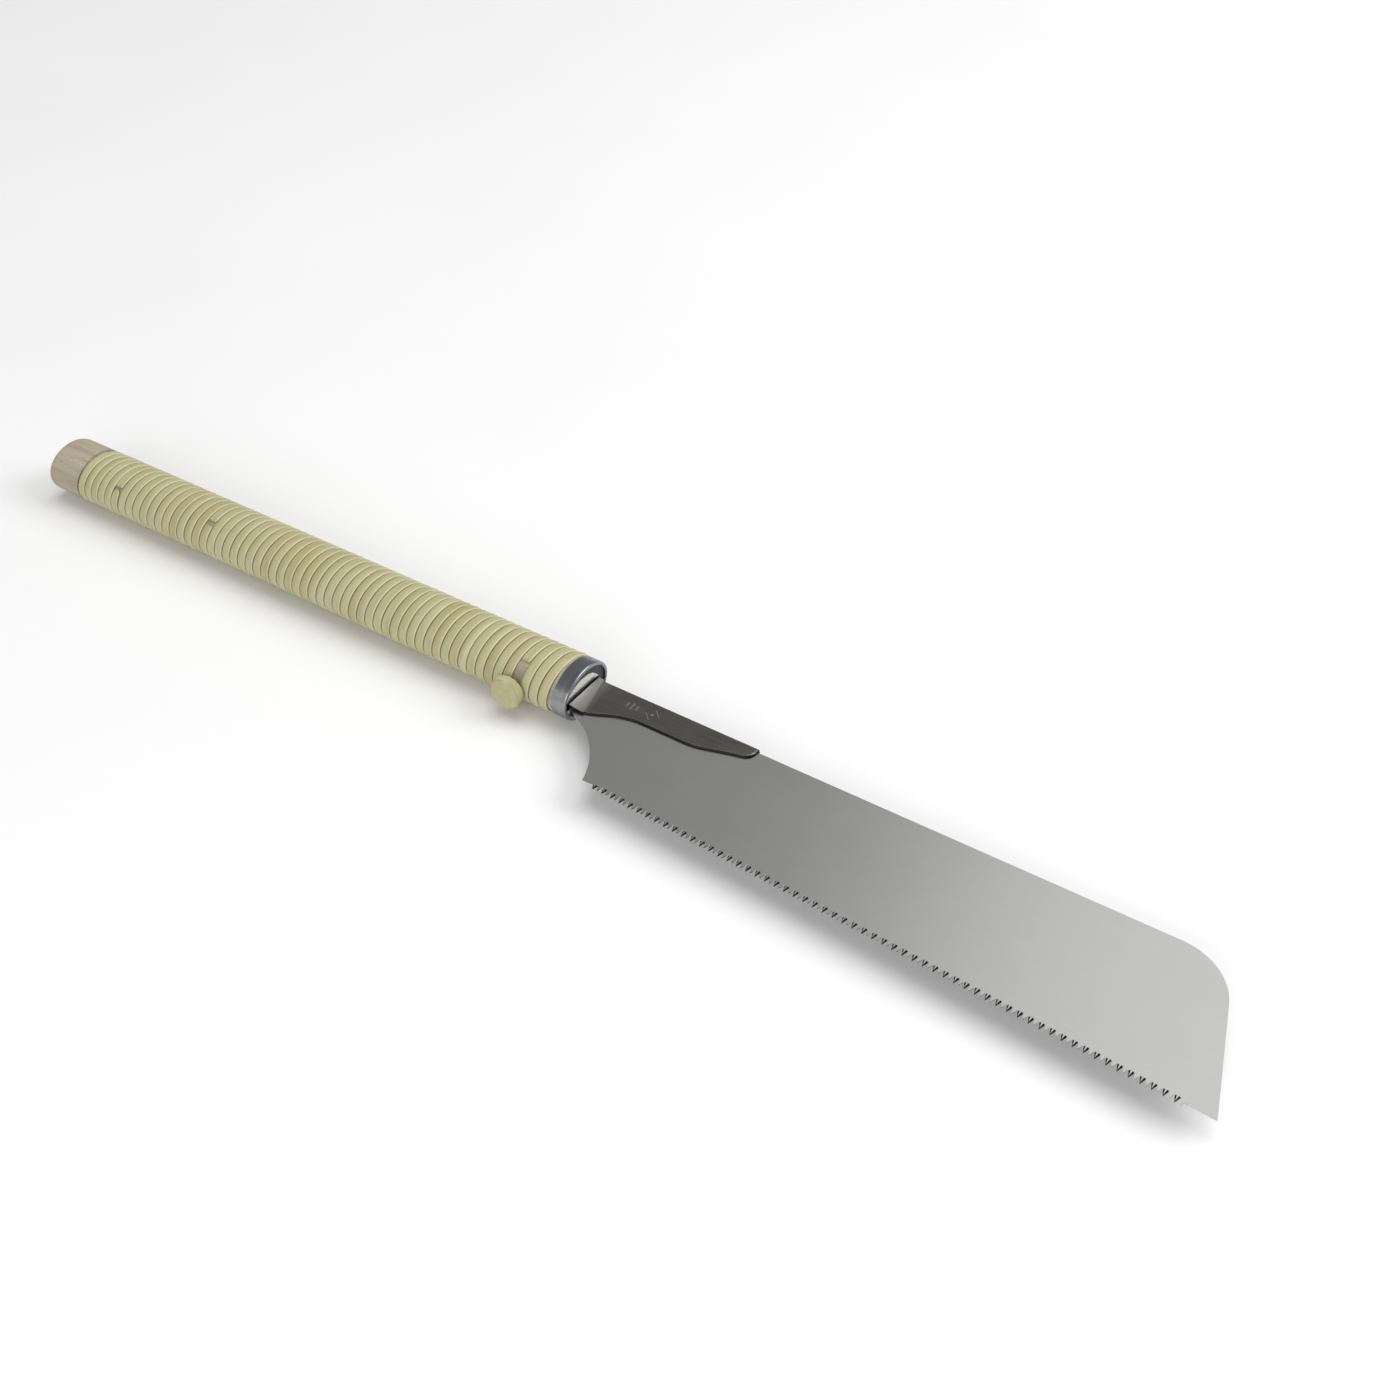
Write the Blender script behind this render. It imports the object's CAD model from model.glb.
import math

import bmesh
import bpy
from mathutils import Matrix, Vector, noise


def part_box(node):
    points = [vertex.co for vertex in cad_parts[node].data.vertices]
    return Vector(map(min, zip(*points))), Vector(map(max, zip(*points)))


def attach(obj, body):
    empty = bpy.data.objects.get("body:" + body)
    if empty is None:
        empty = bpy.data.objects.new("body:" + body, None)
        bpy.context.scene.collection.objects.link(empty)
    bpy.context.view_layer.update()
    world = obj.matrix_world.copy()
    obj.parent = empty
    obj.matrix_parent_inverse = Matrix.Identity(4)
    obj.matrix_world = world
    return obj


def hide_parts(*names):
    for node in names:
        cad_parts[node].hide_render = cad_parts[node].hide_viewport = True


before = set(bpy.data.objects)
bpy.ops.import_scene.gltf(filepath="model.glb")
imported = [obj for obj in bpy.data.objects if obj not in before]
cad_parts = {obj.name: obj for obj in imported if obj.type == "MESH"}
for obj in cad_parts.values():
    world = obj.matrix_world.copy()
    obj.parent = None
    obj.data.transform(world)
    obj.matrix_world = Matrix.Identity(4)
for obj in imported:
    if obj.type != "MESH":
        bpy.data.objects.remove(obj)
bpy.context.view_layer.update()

MM = 0.001

# the working origin: the middle of the ferrule's front face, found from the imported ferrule
ferrule_low, ferrule_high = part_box("ferrule")
ORIGIN = Vector(
    (
        ferrule_high[0],
        (ferrule_low[1] + ferrule_high[1]) / 2,
        (ferrule_low[2] + ferrule_high[2]) / 2,
    )
)


def at(x, y, z):
    """A point of the working frame, in millimetres, as a place in the shared frame."""
    return ORIGIN + Vector((x, y, z)) * MM


def link_object(name, data):
    """A new object in the scene that shows the data."""
    made = bpy.data.objects.new(name, data)
    bpy.context.scene.collection.objects.link(made)
    return made


# ---- material helpers ----------------------------------------------------------------------
NOISE_ROUGHNESS = 0.55
# the sockets of a colour Mix node
MIX_FACTOR, MIX_FIRST, MIX_SECOND, MIX_RESULT = 0, 6, 7, 2


class Finish:
    """A node material built round one Principled shader."""

    def __init__(self, name, **shader):
        self.material = bpy.data.materials.new(name)
        self.material.use_nodes = True
        self.tree = self.material.node_tree
        self.shader = self.tree.nodes["Principled BSDF"]
        for key, value in shader.items():
            self.shader.inputs[key.replace("_", " ")].default_value = value

    def node(self, kind, **settings):
        made = self.tree.nodes.new(kind)
        for key, value in settings.items():
            setattr(made, key, value)
        return made

    def link(self, source, target):
        self.tree.links.new(source, target)

    def fill(self, socket, value):
        """Links a socket, or gives it a plain number."""
        if isinstance(value, float):
            socket.default_value = value
        else:
            self.link(value, socket)

    def stretched(self, source, scale, turn=(0, 0, 0)):
        """A vector scaled, and turned by angles in radians."""
        mapping = self.node("ShaderNodeMapping")
        mapping.inputs["Scale"].default_value = scale
        mapping.inputs["Rotation"].default_value = turn
        self.link(source, mapping.inputs["Vector"])
        return mapping.outputs["Vector"]

    def place(self, scale=(1, 1, 1), turn=(0, 0, 0)):
        """Object coordinates in metres, times a scale in repeats per metre."""
        coords = self.node("ShaderNodeTexCoord")
        return self.stretched(coords.outputs["Object"], scale, turn)

    def noise(self, vector, detail):
        made = self.node("ShaderNodeTexNoise")
        made.inputs["Scale"].default_value = 1.0
        made.inputs["Detail"].default_value = detail
        made.inputs["Roughness"].default_value = NOISE_ROUGHNESS
        self.link(vector, made.inputs["Vector"])
        return made.outputs["Fac"]

    def ramp(self, factor, stops):
        """A colour ramp through stops, each a position and a colour."""
        made = self.node("ShaderNodeValToRGB")
        elements = made.color_ramp.elements
        while len(elements) < len(stops):
            elements.new(0.5)
        for element, (position, colour) in zip(elements, stops):
            element.position = position
            element.color = (*colour, 1.0)
        self.link(factor, made.inputs["Fac"])
        return made.outputs["Color"]

    def grey(self, factor, low, high, start=0.3, end=0.7):
        """Low where the factor is at start or under, rising to high at end."""
        made = self.node("ShaderNodeMapRange")
        made.inputs["From Min"].default_value = start
        made.inputs["From Max"].default_value = end
        made.inputs["To Min"].default_value = low
        made.inputs["To Max"].default_value = high
        self.link(factor, made.inputs["Value"])
        return made.outputs["Result"]

    def mix(self, factor, first, second):
        """A blend of two colours, each a tuple or a socket."""
        made = self.node("ShaderNodeMix", data_type="RGBA")
        self.fill(made.inputs[MIX_FACTOR], factor)
        for index, value in ((MIX_FIRST, first), (MIX_SECOND, second)):
            if isinstance(value, tuple):
                made.inputs[index].default_value = (*value, 1.0)
            else:
                self.link(value, made.inputs[index])
        return made.outputs[MIX_RESULT]

    def maths(self, operation, *values):
        made = self.node("ShaderNodeMath", operation=operation)
        for socket, value in zip(made.inputs, values):
            self.fill(socket, value)
        return made.outputs["Value"]

    def axis(self, source, name):
        made = self.node("ShaderNodeSeparateXYZ")
        self.link(source, made.inputs["Vector"])
        return made.outputs[name]

    def bump(self, height, strength, depth):
        made = self.node("ShaderNodeBump")
        made.inputs["Strength"].default_value = strength
        made.inputs["Distance"].default_value = depth
        self.link(height, made.inputs["Height"])
        self.link(made.outputs["Normal"], self.shader.inputs["Normal"])

    def colour(self, source):
        self.link(source, self.shader.inputs["Base Color"])

    def rough(self, source):
        self.link(source, self.shader.inputs["Roughness"])


CLOUD_SCALE = (45, 45, 45)
CLOUD_SHARE = 0.35
SCRATCH_SCALE = (25, 900, 900)
SCRATCH_TURN = (0, 0, 0.5)
SCRATCH_GAIN = 1.5
BRUSH_DEPTH = 0.03 * MM


def steel(name, dark, light, roughness, grain, spread=0.08, marks=0.10, relief=0.10):
    """Brushed metal: long fine grain, cloudy tone and a few faint scratches."""
    finish = Finish(name, Metallic=1.0)
    fine = finish.noise(finish.place(grain), detail=3.0)
    clouds = finish.noise(finish.place(CLOUD_SCALE), detail=4.0)
    tone = finish.mix(CLOUD_SHARE, fine, clouds)
    base = finish.ramp(tone, [(0.30, dark), (0.70, light)])
    scratches = finish.noise(finish.place(SCRATCH_SCALE, SCRATCH_TURN), detail=1.0)
    hairline = finish.grey(scratches, low=0.0, high=marks, start=0.66, end=0.72)
    scratched = tuple(min(1.0, SCRATCH_GAIN * c) for c in light)
    finish.colour(finish.mix(hairline, base, scratched))
    finish.rough(finish.grey(tone, low=roughness - spread, high=roughness + spread))
    finish.bump(fine, relief, BRUSH_DEPTH)
    return finish


# ---- materials -----------------------------------------------------------------------------
WOOD_TONES = [
    (0.28, (0.33, 0.275, 0.195)),
    (0.50, (0.43, 0.375, 0.28)),
    (0.72, (0.50, 0.445, 0.345)),
]
WOOD_FLECK = (0.25, 0.145, 0.09)
WOOD_PORE_DEPTH = 0.08 * MM

RATTAN_TONES = [
    (0.30, (0.41, 0.38, 0.19)),
    (0.50, (0.49, 0.47, 0.265)),
    (0.70, (0.56, 0.55, 0.35)),
]
RATTAN_TAN = (0.43, 0.345, 0.165)
RATTAN_FIBRE = (0.35, 0.29, 0.13)
RATTAN_SHOULDER = (0.68, 0.63, 0.38)
RATTAN_EDGE = (0.17, 0.085, 0.028)
RATTAN_FIBRE_DEPTH = 0.10 * MM

PLASTIC_TONES = [(0.30, (0.44, 0.40, 0.215)), (0.70, (0.52, 0.49, 0.285))]
PLASTIC_GRAIN_DEPTH = 0.04 * MM

# places on the folded back, in millimetres of the working frame
RAMP_X = (1.0, 9.0)
MARK_FLOOR_Z = (1.46, 1.50)
MARK_LIMIT_Y = (5.4, 5.6)
TANG_LIMIT_X = (0.40, 0.48)
RAMP_BRIGHTNESS = 0.75
RAMP_COLOUR = (0.62, 0.61, 0.59)
MARK_COLOUR = (0.52, 0.51, 0.49)
SHEARED_COLOUR = (0.022, 0.022, 0.021)
TANG_COLOUR = (0.020, 0.020, 0.020)
# how level a face is: sheared edges fall below the first, flat faces are above the second
SHEARED_LEVEL = (0.80, 0.98)


def wood_material():
    """Pale bare wood: long streaks, short reddish-brown flecks and open pores."""
    finish = Finish("bare_wood")
    streaks = finish.noise(finish.place((14, 240, 240)), detail=6.0)
    flecks = finish.noise(finish.place((150, 1500, 1500)), detail=2.0)
    pores = finish.noise(finish.place((90, 2600, 2600)), detail=1.0)
    base = finish.ramp(streaks, WOOD_TONES)
    fleck = finish.grey(flecks, low=0.0, high=0.55, start=0.58, end=0.70)
    finish.colour(finish.mix(fleck, base, WOOD_FLECK))
    finish.rough(finish.grey(streaks, low=0.55, high=0.72))
    finish.bump(pores, 0.35, WOOD_PORE_DEPTH)
    return finish.material


def rattan_material():
    """Split rattan: glossy pale skin, long fibres, darker edges and slow tone changes."""
    finish = Finish("split_rattan", Specular_IOR_Level=0.45)
    strand = finish.node("ShaderNodeAttribute", attribute_name="strand").outputs["Vector"]
    across = finish.axis(strand, "Y")
    tone = finish.axis(strand, "Z")
    fibres = finish.noise(finish.stretched(strand, (30, 9, 0)), detail=5.0)
    patches = finish.noise(finish.stretched(strand, (22, 0.6, 0)), detail=3.0)
    skin = finish.ramp(patches, RATTAN_TONES)
    tan = finish.grey(tone, low=0.0, high=0.45, start=0.35, end=0.9)
    toned = finish.mix(tan, skin, RATTAN_TAN)
    fibre = finish.grey(fibres, low=0.0, high=0.35, start=0.5, end=0.72)
    lined = finish.mix(fibre, toned, RATTAN_FIBRE)
    shoulder = finish.grey(across, low=0.0, high=0.75, start=0.62, end=0.80)
    rimmed = finish.mix(shoulder, lined, RATTAN_SHOULDER)
    from_middle = finish.maths("ABSOLUTE", across)
    edge = finish.grey(from_middle, low=0.0, high=0.92, start=0.86, end=1.0)
    finish.colour(finish.mix(edge, rimmed, RATTAN_EDGE))
    finish.rough(finish.grey(fibres, low=0.34, high=0.52))
    finish.bump(fibres, 0.30, RATTAN_FIBRE_DEPTH)
    return finish.material


def knob_material():
    """Matte moulded plastic with a slight mottle and a rubbed look."""
    finish = Finish("moulded_plastic", Specular_IOR_Level=0.35)
    mottle = finish.noise(finish.place((260, 260, 260)), detail=5.0)
    grain = finish.noise(finish.place((2600, 2600, 2600)), detail=2.0)
    finish.colour(finish.ramp(mottle, PLASTIC_TONES))
    finish.rough(finish.grey(mottle, low=0.46, high=0.60))
    finish.bump(grain, 0.25, PLASTIC_GRAIN_DEPTH)
    return finish.material


def spine_material():
    """Warm dark satin steel: bright on the ramp and in the mark, dark where sheared."""
    finish = steel(
        "spine_satin", (0.155, 0.148, 0.138), (0.25, 0.24, 0.225), 0.36, (60, 3000, 3000)
    )

    def fading(source, origin, limits, high=1.0):
        """High up to the first limit, in millimetres from the origin, and 0 past the second."""
        start, end = (origin + limit * MM for limit in limits)
        return finish.grey(source, low=high, high=0.0, start=start, end=end)

    satin = finish.shader.inputs["Base Color"].links[0].from_socket
    place = finish.place()
    along = finish.axis(place, "X")
    depth = finish.maths("ABSOLUTE", finish.maths("SUBTRACT", finish.axis(place, "Z"), ORIGIN.z))
    sunk = fading(depth, 0.0, MARK_FLOOR_Z)
    inboard = fading(finish.axis(place, "Y"), ORIGIN.y, MARK_LIMIT_Y)
    marked = finish.mix(finish.maths("MULTIPLY", sunk, inboard), satin, MARK_COLOUR)
    ramp = fading(along, ORIGIN.x, RAMP_X, RAMP_BRIGHTNESS)
    faced = finish.mix(ramp, marked, RAMP_COLOUR)
    facing = finish.axis(finish.node("ShaderNodeTexCoord").outputs["Normal"], "Z")
    level = finish.maths("ABSOLUTE", facing)
    steep, flat = SHEARED_LEVEL
    sheared = finish.grey(level, low=1.0, high=0.0, start=steep, end=flat)
    edged = finish.mix(sheared, faced, SHEARED_COLOUR)
    tang = fading(along, ORIGIN.x, TANG_LIMIT_X)
    finish.colour(finish.mix(tang, edged, TANG_COLOUR))
    return finish.material


wood = wood_material()
rattan = rattan_material()
plastic = knob_material()
spine_satin = spine_material()
blade_satin = steel(
    "blade_satin",
    (0.560, 0.557, 0.550),
    (0.600, 0.598, 0.592),
    0.31,
    (90, 4500, 4500),
    spread=0.015,
    marks=0.03,
    relief=0.02,
).material
tooth_ground = steel(
    "tooth_ground", (0.012, 0.012, 0.013), (0.035, 0.034, 0.033), 0.42, (1500, 1500, 300)
).material
ferrule_satin = steel(
    "ferrule_satin", (0.23, 0.24, 0.255), (0.35, 0.36, 0.375), 0.34, (2200, 60, 60)
).material
dark_satin = steel(
    "dark_satin", (0.045, 0.047, 0.050), (0.085, 0.088, 0.092), 0.45, (300, 2000, 300)
).material
jaw_brushed = steel(
    "jaw_brushed", (0.52, 0.515, 0.50), (0.76, 0.755, 0.74), 0.40, (400, 400, 3000)
).material
pin_turned = steel(
    "pin_turned", (0.34, 0.34, 0.345), (0.50, 0.50, 0.505), 0.35, (1200, 3000, 1200)
).material
brass_turned = steel(
    "brass_turned", (0.50, 0.36, 0.13), (0.66, 0.50, 0.22), 0.34, (1500, 300, 1500)
).material

LOOKS = {
    "core_upper_half": wood,
    "core_lower_half": wood,
    "rattan_butt_strand": rattan,
    "rattan_second_strand": rattan,
    "rattan_main_strand": rattan,
    "rattan_front_strand": rattan,
    "ferrule": ferrule_satin,
    "mouth_plate": dark_satin,
    "jaw_upper": jaw_brushed,
    "jaw_lower": jaw_brushed,
    "jaw_spacer": jaw_brushed,
    "jaw_pins": pin_turned,
    "tang_stop_pin": pin_turned,
    "thread_bush": brass_turned,
    "clamp_shoe": brass_turned,
    "knob": plastic,
    "knob_screw": pin_turned,
    "blade": blade_satin,
    "spine": spine_satin,
    "tang_rivets": pin_turned,
}
for node_name, look in LOOKS.items():
    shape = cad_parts[node_name]
    if not shape.material_slots:
        shape.data.materials.append(look)
    for material_slot in shape.material_slots:
        material_slot.material = look


# ---- rattan, in millimetres of the working frame ---------------------------------------------
# the handle's half width and half height over the rattan, at its rear and front
WRAP_REAR_X = -292.0
WRAP_FRONT_X = -9.0
REAR_HALF = (15.5, 12.1)
FRONT_HALF = (16.3, 12.7)
# no strand passes these
REAR_LIMIT_X = -292.3
FRONT_LIMIT_X = -7.55

STRAND_THICKNESS = 1.2
STEPS_PER_TURN = 72
# the strand's section, from edge to edge, and how it rises from a thin edge
PROFILE = [-1, -0.96, -0.86, -0.66, -0.35, 0, 0.35, 0.66, 0.86, 0.96, 1]
EDGE_SHARE = 0.12
SHOULDER_POWER = 2.5
# unevenness: slow wander and quick ripple, sampled from separate rows of the same noise
WANDER_RATE, WANDER_ROW = 0.45, 0
RIPPLE_RATE, RIPPLE_ROW = 2.3, 7
WIDTH_WANDER = 0.025
HEIGHT_MEAN, HEIGHT_WANDER, HEIGHT_RIPPLE = 0.93, 0.06, 0.04
SIDEWAYS_RIPPLE = 0.10
# tone along the strand: a new one about each turn, and a slow drift between
SHADE_MEAN, SHADE_SPREAD = 0.5, 0.9
SHADE_STEP, SHADE_DRIFT, SHADE_ROW = 3.1, 0.3, 3
METRES_PER_TURN = 0.088

SCREW_WAY_RADIUS = 4.5
SCREW_WAY_LENGTH = 20
SCREW_WAY_MIDDLE_Y = -16
SCREW_WAY_SIDES = 48
CROSSED_BY_SCREW = ("rattan_main_strand", "rattan_front_strand")


def seat_section(x):
    """Half width and half height of the wood under the rattan at x."""
    share = (x - WRAP_REAR_X) / (WRAP_FRONT_X - WRAP_REAR_X)
    return [
        rear + share * (front - rear) - STRAND_THICKNESS
        for rear, front in zip(REAR_HALF, FRONT_HALF)
    ]


def section_height(s):
    """The strand's height at s across it, as a share of its full height."""
    return EDGE_SHARE + (1 - EDGE_SHARE) * (1 - abs(s) ** SHOULDER_POWER) ** 0.5


def strand_mesh(name, start_x, start_angle, first, last, pitch, width, tapers):
    """A flat split strand wound left-handed; first and last count turns from its start."""
    mesh = bpy.data.meshes.new(name)
    shape = bmesh.new()
    layer = shape.verts.layers.float_vector.new("strand")
    steps = round((last - first) * STEPS_PER_TURN)
    rings = []
    for i in range(steps + 1):
        turn = first + (last - first) * i / steps
        angle = math.radians(start_angle) - 2 * math.pi * turn
        wander = noise.noise(Vector((turn * WANDER_RATE, start_x, WANDER_ROW)))
        ripple = noise.noise(Vector((turn * RIPPLE_RATE, start_x, RIPPLE_ROW)))
        tone = noise.noise(Vector((round(turn) * SHADE_STEP, turn * SHADE_DRIFT, SHADE_ROW)))
        shade = SHADE_MEAN + SHADE_SPREAD * tone
        ends = [
            min(1.0, abs(turn - end) / taper) if taper else 1.0
            for end, taper in zip((first, last), tapers)
        ]
        fullness = min(ends) ** 0.5
        middle = start_x + pitch * turn + SIDEWAYS_RIPPLE * ripple
        half = width / 2 * (1 + WIDTH_WANDER * wander) * fullness
        height = STRAND_THICKNESS * (
            HEIGHT_MEAN + HEIGHT_WANDER * wander + HEIGHT_RIPPLE * ripple
        )
        line = [(s, height * section_height(s)) for s in PROFILE]
        ring = []
        for s, rise in [(PROFILE[0], 0.0), *line, (PROFILE[-1], 0.0)]:
            x = min(FRONT_LIMIT_X, max(REAR_LIMIT_X, middle + s * half))
            half_width, half_height = seat_section(x)
            out = Vector((math.cos(angle) / half_width, math.sin(angle) / half_height))
            out.normalize()
            y = half_width * math.cos(angle) + out.x * rise
            z = half_height * math.sin(angle) + out.y * rise
            vert = shape.verts.new(at(x, y, z))
            vert[layer] = (turn * METRES_PER_TURN, s, shade)
            ring.append(vert)
        rings.append(ring)
    count = len(rings[0])
    for rear, front in zip(rings, rings[1:]):
        for k in range(count):
            after = (k + 1) % count
            face = shape.faces.new((rear[k], front[k], front[after], rear[after]))
            # the two edges and the underside stay flat
            face.smooth = k not in (0, count - 2, count - 1)
    shape.faces.new(rings[0])
    shape.faces.new(list(reversed(rings[-1])))
    bmesh.ops.recalc_face_normals(shape, faces=shape.faces)
    shape.to_mesh(mesh)
    shape.free()
    return mesh


def screw_way():
    """A short rod on the clamp's axis, which cuts the strands round the screw."""
    knob_low, knob_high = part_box("knob")
    middle_x = (knob_low[0] + knob_high[0]) / 2
    mesh = bpy.data.meshes.new("screw_way")
    shape = bmesh.new()
    bmesh.ops.create_cone(
        shape,
        cap_ends=True,
        segments=SCREW_WAY_SIDES,
        radius1=SCREW_WAY_RADIUS * MM,
        radius2=SCREW_WAY_RADIUS * MM,
        depth=SCREW_WAY_LENGTH * MM,
    )
    for vert in shape.verts:
        x, y, z = vert.co
        vert.co = Vector((middle_x + x, ORIGIN.y + SCREW_WAY_MIDDLE_Y * MM + z, ORIGIN.z - y))
    shape.to_mesh(mesh)
    shape.free()
    return link_object("screw_way", mesh)


def cut_by(piece, cutter):
    """Cuts the rod's space out of a piece, for good."""
    modifier = piece.modifiers.new("hole", "BOOLEAN")
    modifier.operation = "DIFFERENCE"
    modifier.solver = "EXACT"
    modifier.object = cutter
    graph = bpy.context.evaluated_depsgraph_get()
    cut = bpy.data.meshes.new_from_object(piece.evaluated_get(graph))
    piece.modifiers.clear()
    piece.data = cut


# name, CAD node, start x, start angle, first turn, last turn, pitch, width, end tapers in turns
STRANDS = [
    ("rattan_wrap_butt", "rattan_butt_strand", -267, 133, -5.38, -0.01, 4.42, 4.36, (0.02, 0.03)),
    ("rattan_wrap_second", "rattan_second_strand", -267, 133, 0.002, 12.010, 4.823, 4.73, (0, 0)),
    ("rattan_wrap_main", "rattan_main_strand", -209, 124, 0.015, 37.789, 4.806, 4.72, (0, 0)),
    ("rattan_wrap_front", "rattan_front_strand", -26.3, 120, 0.0, 3.55, 4.90, 4.80, (0, 0.05)),
]
for name, node_name, *winding in STRANDS:
    piece = link_object(name, strand_mesh(name, *winding))
    if node_name in CROSSED_BY_SCREW:
        cutter = screw_way()
        cut_by(piece, cutter)
        bpy.data.objects.remove(cutter)
    piece.data.materials.clear()
    piece.data.materials.append(rattan)
    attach(piece, "handle")
    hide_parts(node_name)


# ---- blade, in millimetres of the working frame ----------------------------------------------
BLADE_HALF = 0.35
BACK_EDGE_Y = 7.2
TANG_REAR_X = -39.5
TANG_LOW_Y = -5.0
FOOT_REAR_X = -5.9
FOOT_Y = -12.9
FOOT_FRONT_X = 1.0
HEEL_START = (5.2, -16.1)
HEEL_MIDDLE = (21.3, -28.1)
HEEL_CORNER = (30.4, -45.9)
FIRST_TOOTH = (35.5, -47.5)
LAST_TOOTH = (301.3, -64.1)
TOE_CORNER = (313.7, -63.2)
TOE_TOP = (291.1, 7.2)
TOE_RADIUS = 28.0
ARC_STEPS = 28

TOOTH_COUNT = 118
TOOTH_DEPTH = 3.0
# how far the edge's two plain ends stand above the line of the tips
PLAIN_EDGE_RISE = 1.65
FACET_INSET = 0.74
FACET_TIP_RISE = 0.45
TOOTH_SET = 0.12
FACET_SET_SHARE = 0.8
GROUND_SLOT = 1


def arc_through(start, middle, end):
    """Points on the circle through three points, from start to end."""
    (ax, ay), (bx, by), (cx, cy) = start, middle, end
    d = 2 * (ax * (by - cy) + bx * (cy - ay) + cx * (ay - by))
    a2, b2, c2 = ax * ax + ay * ay, bx * bx + by * by, cx * cx + cy * cy
    ux = (a2 * (by - cy) + b2 * (cy - ay) + c2 * (ay - by)) / d
    uy = (a2 * (cx - bx) + b2 * (ax - cx) + c2 * (bx - ax)) / d
    radius = math.hypot(ax - ux, ay - uy)
    first = math.atan2(ay - uy, ax - ux)
    sweep = (math.atan2(cy - uy, cx - ux) - first + math.pi) % (2 * math.pi) - math.pi
    angles = [first + sweep * i / ARC_STEPS for i in range(ARC_STEPS + 1)]
    return [(ux + radius * math.cos(a), uy + radius * math.sin(a)) for a in angles]


def rounded_corner(before, corner, after, radius):
    """Points on the arc that rounds a corner between two straight edges."""
    corner = Vector(corner)
    u = (Vector(before) - corner).normalized()
    v = (Vector(after) - corner).normalized()
    half = u.angle(v) / 2
    reach = radius / math.tan(half)
    centre = corner + (u + v).normalized() * radius / math.sin(half)
    start = corner + u * reach - centre
    end = corner + v * reach - centre
    first = math.atan2(start.y, start.x)
    sweep = (math.atan2(end.y, end.x) - first + math.pi) % (2 * math.pi) - math.pi
    angles = [first + sweep * i / ARC_STEPS for i in range(ARC_STEPS + 1)]
    return [tuple(centre + radius * Vector((math.cos(a), math.sin(a)))) for a in angles]


def blade_mesh():
    """The plate with its teeth: every other tooth is ground on the top, the rest below."""
    mesh = bpy.data.meshes.new("blade_toothed")
    shape = bmesh.new()

    def point(x, y, z):
        return shape.verts.new(at(x, y, z))

    def pair(x, y):
        """The plate's top and underside at one place of its outline."""
        return [point(x, y, side * BLADE_HALF) for side in (1, -1)]

    first_x, first_y = FIRST_TOOTH
    last_x, last_y = LAST_TOOTH
    pitch = (last_x - first_x) / TOOTH_COUNT
    slope = (last_y - first_y) / (last_x - first_x)
    outline = [
        TOE_CORNER,
        *rounded_corner(TOE_CORNER, TOE_TOP, (TANG_REAR_X, BACK_EDGE_Y), TOE_RADIUS),
        (TANG_REAR_X, BACK_EDGE_Y),
        (TANG_REAR_X, TANG_LOW_Y),
        (FOOT_REAR_X, TANG_LOW_Y),
        (FOOT_REAR_X, FOOT_Y),
        (FOOT_FRONT_X, FOOT_Y),
        *arc_through(HEEL_START, HEEL_MIDDLE, HEEL_CORNER),
    ]
    plain = [pair(x, y) for x, y in outline]
    gullets = []
    for i in range(TOOTH_COUNT + 1):
        rise = PLAIN_EDGE_RISE if i in (0, TOOTH_COUNT) else TOOTH_DEPTH
        gullets.append((first_x + i * pitch, first_y + slope * i * pitch + rise))
    edges = [pair(x, y) for x, y in gullets]
    loop = plain + [edges[0]]
    faces = [[top for top, under in loop], [under for top, under in loop]]
    for a, b in zip(loop, loop[1:]):
        shape.faces.new((a[0], a[1], b[1], b[0]))
    for i in range(TOOTH_COUNT):
        left, right = edges[i], edges[i + 1]
        (left_x, left_y), (right_x, right_y) = gullets[i], gullets[i + 1]
        # the ground face and the full one, as 0 for the top and 1 for the underside
        ground = i % 2
        full = 1 - ground
        side = -1 if ground else 1
        lean = -side * TOOTH_SET
        tip_x = (left_x + right_x) / 2
        tip_y = first_y + slope * (tip_x - first_x)
        tip = point(tip_x, tip_y, -side * BLADE_HALF + lean)
        facet_z = side * BLADE_HALF + FACET_SET_SHARE * lean
        facet_tip = point(tip_x, tip_y + FACET_TIP_RISE, facet_z)
        inner = []
        for share in (FACET_INSET / pitch, 1 - FACET_INSET / pitch):
            x = left_x + share * (right_x - left_x)
            y = left_y + share * (right_y - left_y)
            inner.append(point(x, y, side * BLADE_HALF))
        near, far = inner
        faces[ground] += [near, far, right[ground]]
        faces[full] += [right[full]]
        shape.faces.new((left[full], tip, right[full]))
        shape.faces.new((near, facet_tip, far))
        shape.faces.new((left[full], near, left[ground]))
        shape.faces.new((right[full], right[ground], far))
        for bevel in ((left[full], tip, facet_tip, near), (right[full], far, facet_tip, tip)):
            shape.faces.new(bevel).material_index = GROUND_SLOT
    last, first = edges[-1], plain[0]
    shape.faces.new((last[0], last[1], first[1], first[0]))
    for broad_face in faces:
        shape.faces.new(broad_face)
    bmesh.ops.recalc_face_normals(shape, faces=shape.faces)
    bmesh.ops.triangulate(shape, faces=[f for f in shape.faces if len(f.verts) > 4])
    shape.to_mesh(mesh)
    shape.free()
    return mesh


blade = link_object("blade_toothed", blade_mesh())
blade.data.materials.append(blade_satin)
blade.data.materials.append(tooth_ground)
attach(blade, "blade")
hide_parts("blade")


# ---- floor, light and camera, in metres ------------------------------------------------------
FLOOR_HALF_SIZE = 8.0
FLOOR_TONES = [(0.3, (0.94, 0.94, 0.94)), (0.7, (0.96, 0.96, 0.96))]


def floor_material():
    """Plain pale paper, very slightly uneven."""
    finish = Finish("studio_floor", Roughness=0.9, Specular_IOR_Level=0.1)
    tone = finish.noise(finish.place((6, 6, 6)), detail=2.0)
    finish.colour(finish.ramp(tone, FLOOR_TONES))
    return finish.material


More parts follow.
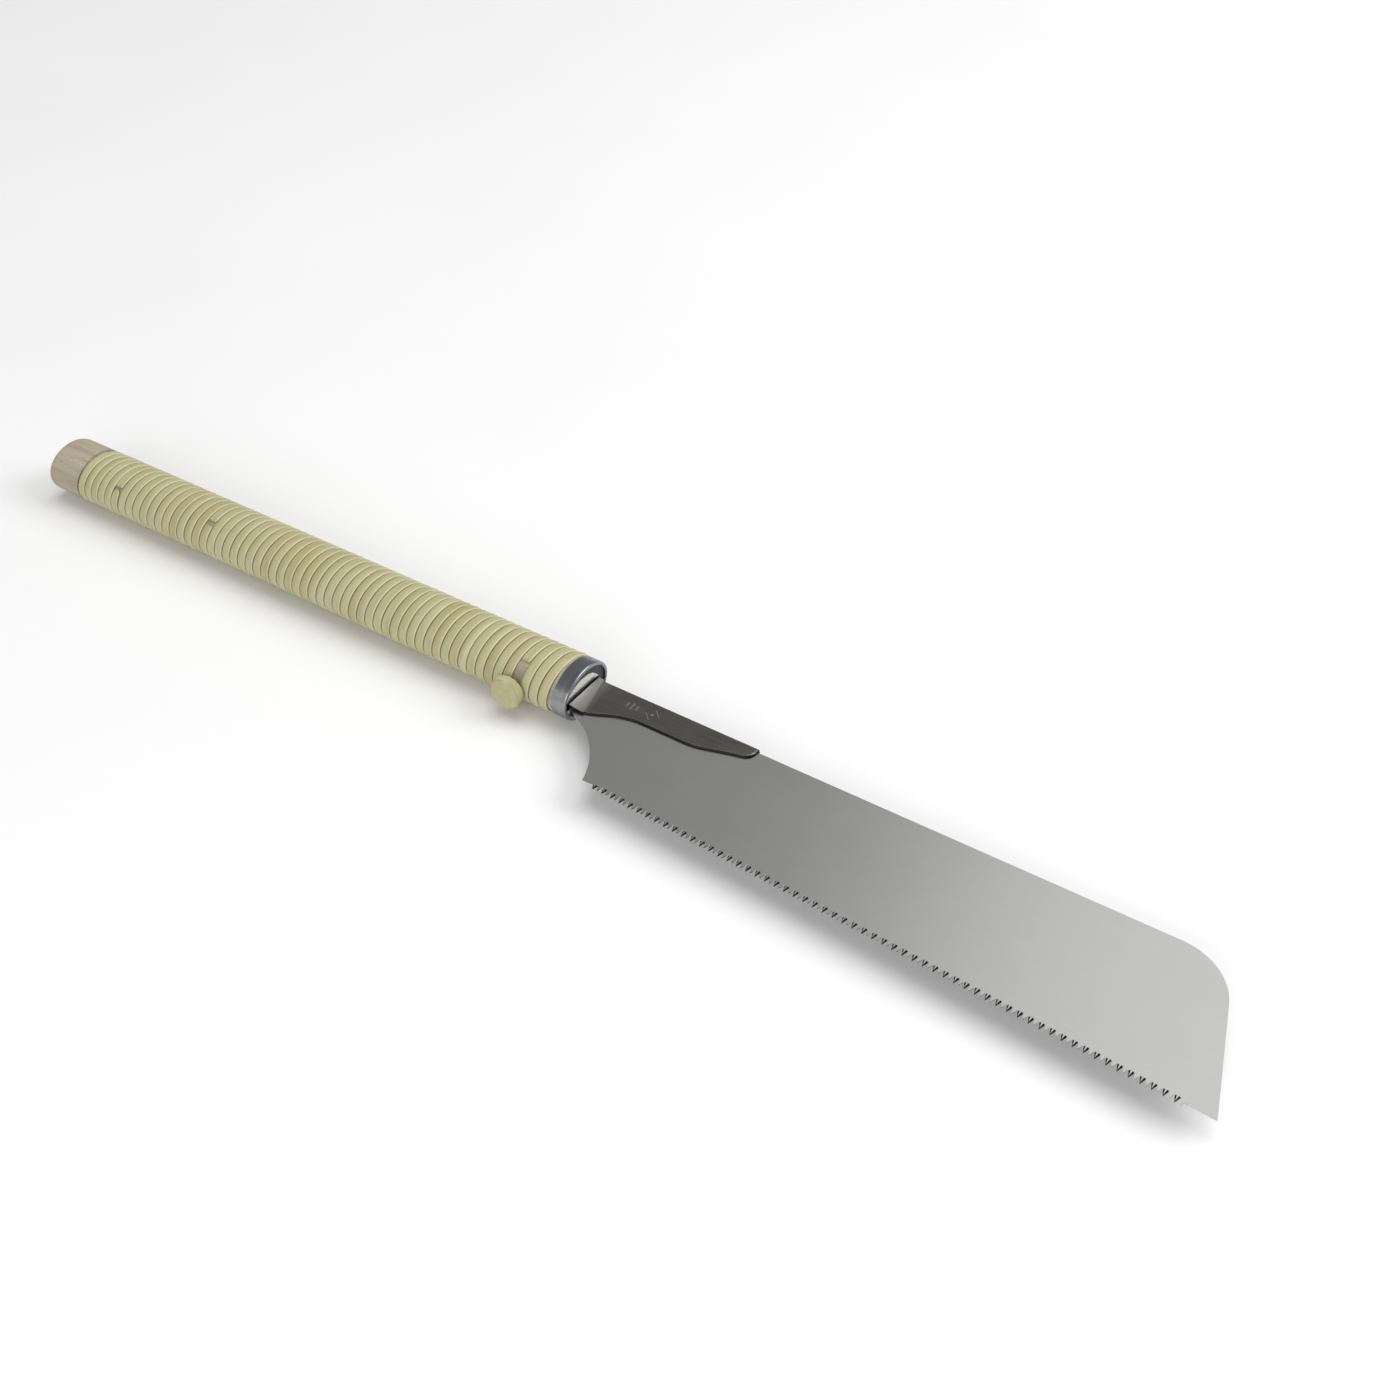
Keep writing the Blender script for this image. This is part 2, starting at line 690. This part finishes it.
def flat_square(name, half):
    """A level square round the shared frame's origin."""
    mesh = bpy.data.meshes.new(name)
    corners = [(-half, -half, 0), (half, -half, 0), (half, half, 0), (-half, half, 0)]
    mesh.from_pydata(corners, [], [(0, 1, 2, 3)])
    return link_object(name, mesh)


floor = flat_square("studio_floor", FLOOR_HALF_SIZE)
floor.data.materials.append(floor_material())


def softbox(name, place, target, size, power):
    """A rectangular area light at a place, aimed at a target."""
    data = bpy.data.lights.new(name, "AREA")
    data.shape = "RECTANGLE"
    data.size, data.size_y = size
    data.energy = power
    made = link_object(name, data)
    made.location = place
    aim = Vector(target) - Vector(place)
    made.rotation_euler = aim.to_track_quat("-Z", "Y").to_euler()


# name, place, target, size and power in watts; the blade mirrors the first one
SOFTBOXES = [
    ("mirror_softbox", (0.36, 1.20, 1.50), (0.32, 0.0, 0.0), (1.45, 1.2), 4.3),
    ("key_softbox", (1.35, 0.95, 1.25), (0.05, 0.0, 0.0), (1.2, 1.2), 19.0),
    ("front_softbox", (0.15, -1.55, 0.80), (0.05, 0.0, 0.0), (1.8, 0.9), 12.0),
]
for row in SOFTBOXES:
    softbox(*row)

OVERHEAD_POWER = 0.95
OVERHEAD_SPREAD = math.radians(42)
OVERHEAD_LEAN = math.radians(-8)
overhead = bpy.data.lights.new("overhead", "SUN")
overhead.energy = OVERHEAD_POWER
overhead.angle = OVERHEAD_SPREAD
overhead_lamp = link_object("overhead", overhead)
overhead_lamp.rotation_euler = (OVERHEAD_LEAN, 0.0, 0.0)
# kept out of reflections: from above, the blade would mirror it as white as the floor
overhead_lamp.visible_glossy = False

WORLD_COLOUR = (0.93, 0.93, 0.93, 1.0)
WORLD_STRENGTH = 0.33
world = bpy.data.worlds.new("studio")
world.use_nodes = True
background = world.node_tree.nodes["Background"]
background.inputs["Color"].default_value = WORLD_COLOUR
background.inputs["Strength"].default_value = WORLD_STRENGTH
bpy.context.scene.world = world
bpy.context.scene.view_settings.view_transform = "Standard"

LENS = 51.47
SENSOR_WIDTH = 36.0
NEAR_LIMIT = 0.01
CAMERA_PLACE = at(391.7, -512.25, 573.3)
CAMERA_TURN = (math.radians(48.03), 0.0, math.radians(33.07))
camera_data = bpy.data.cameras.new("camera")
camera_data.lens = LENS
camera_data.sensor_width = SENSOR_WIDTH
camera_data.clip_start = NEAR_LIMIT
camera = link_object("camera", camera_data)
camera.location = CAMERA_PLACE
camera.rotation_euler = CAMERA_TURN
bpy.context.scene.camera = camera
